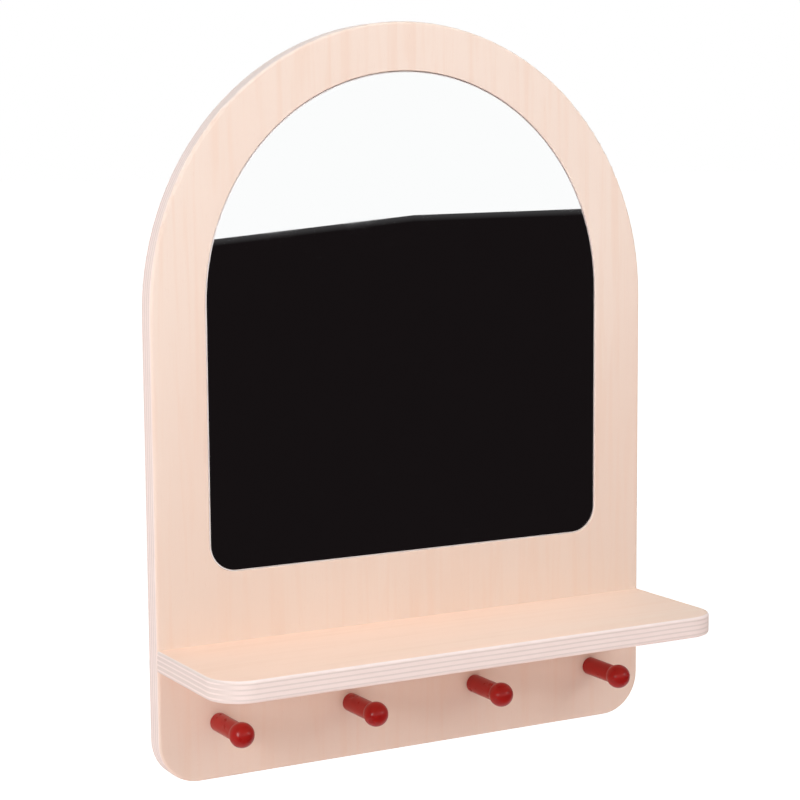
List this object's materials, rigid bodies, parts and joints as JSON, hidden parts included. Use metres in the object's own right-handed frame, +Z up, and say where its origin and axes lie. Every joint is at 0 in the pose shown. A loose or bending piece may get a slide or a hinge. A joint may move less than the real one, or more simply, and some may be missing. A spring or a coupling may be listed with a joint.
{
  "type": "wall-mounted vanity mirror",
  "caption": "Arch-topped plywood wall mirror with a mirror let into its front, a rounded shelf below it, red pegs under the shelf and keyhole plates at the back.",
  "frame": {"origin": "on the wall plane, midway between the mouths of the two keyholes, at the height of the centre of the panel's arch", "axes": "+Z up, +Y from the panel into the wall, +X to the right as seen from the front"},
  "size_m": [0.42, 0.127, 0.55],
  "materials": {
    "plywood": "clear-lacquered birch plywood with its plies open to view at the edges",
    "mirror": "silvered behind, polished face",
    "foam_tape": "white foam tape, sticky on both faces",
    "beech": "plain turned beech",
    "red_paint": "gloss red paint on turned wood",
    "zinc_screw": "zinc plated",
    "zinc_plate": "zinc plated"
  },
  "bodies": {
    "root": {"arched_panel": "plywood", "mirror_sheet": "mirror", "mirror_tape_1": "foam_tape", "mirror_tape_2": "foam_tape", "mirror_tape_3": "foam_tape", "mirror_tape_4": "foam_tape", "shelf": "plywood", "shelf_dowel_left": "beech", "shelf_dowel_right": "beech", "shelf_screws": "zinc_screw", "peg_1": "red_paint", "peg_2": "red_paint", "peg_3": "red_paint", "peg_4": "red_paint", "peg_screws": "zinc_screw", "hanger_plate_left": "zinc_plate", "hanger_plate_right": "zinc_plate", "hanger_screws": "zinc_screw"}
  },
  "joints": []
}
